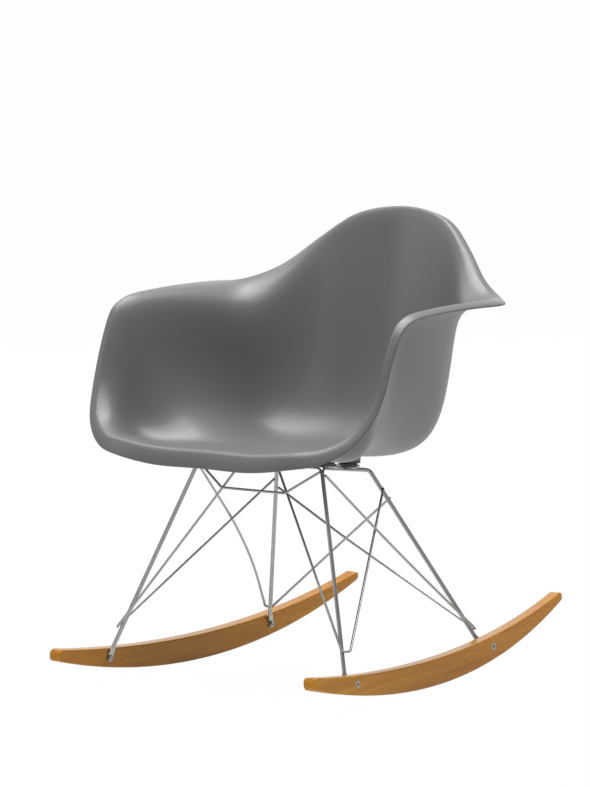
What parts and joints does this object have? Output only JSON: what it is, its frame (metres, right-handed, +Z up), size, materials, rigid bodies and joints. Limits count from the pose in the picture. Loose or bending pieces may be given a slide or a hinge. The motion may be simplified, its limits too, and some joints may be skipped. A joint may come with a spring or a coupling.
{
  "type": "rocking chair",
  "caption": "Moulded plastic armchair shell on a bright wire rod base with curved wooden rockers, held by rubber shock mounts.",
  "frame": {"origin": "on the floor, under the middle of the rockers", "axes": "+Z up, the sitter faces -Y, +X is the sitter's left"},
  "size_m": [0.6342, 0.785, 0.772],
  "materials": {
    "shell_plastic": "satin, dark warm grey, through-coloured",
    "bright_rod": "bright chrome plating",
    "rocker_wood": "clear satin lacquer on pale hardwood",
    "mount_rubber": "matte moulded rubber",
    "zinc_steel": "bright zinc plating",
    "brass_insert": "plain turned brass"
  },
  "bodies": {
    "root": {"brace_front_left": "bright_rod", "brace_front_right": "bright_rod", "brace_rear_left": "bright_rod", "brace_rear_right": "bright_rod", "bridge_rod": "bright_rod", "cross_hoop_front": "bright_rod", "cross_hoop_rear": "bright_rod", "foot_front_left": "bright_rod", "foot_front_right": "bright_rod", "foot_rear_left": "bright_rod", "foot_rear_right": "bright_rod", "mount_inserts": "brass_insert", "mount_screws": "zinc_steel", "mount_tab_front_left": "bright_rod", "mount_tab_front_right": "bright_rod", "mount_tab_rear_left": "bright_rod", "mount_tab_rear_right": "bright_rod", "mount_washers": "zinc_steel", "rocker_left": "rocker_wood", "rocker_right": "rocker_wood", "rocker_screws": "zinc_steel", "rocker_washers": "zinc_steel", "shell": "shell_plastic", "shock_mount_front_left": "mount_rubber", "shock_mount_front_right": "mount_rubber", "shock_mount_rear_left": "mount_rubber", "shock_mount_rear_right": "mount_rubber", "side_hoop_left": "bright_rod", "side_hoop_right": "bright_rod", "sleeve_nuts": "zinc_steel"}
  },
  "joints": []
}
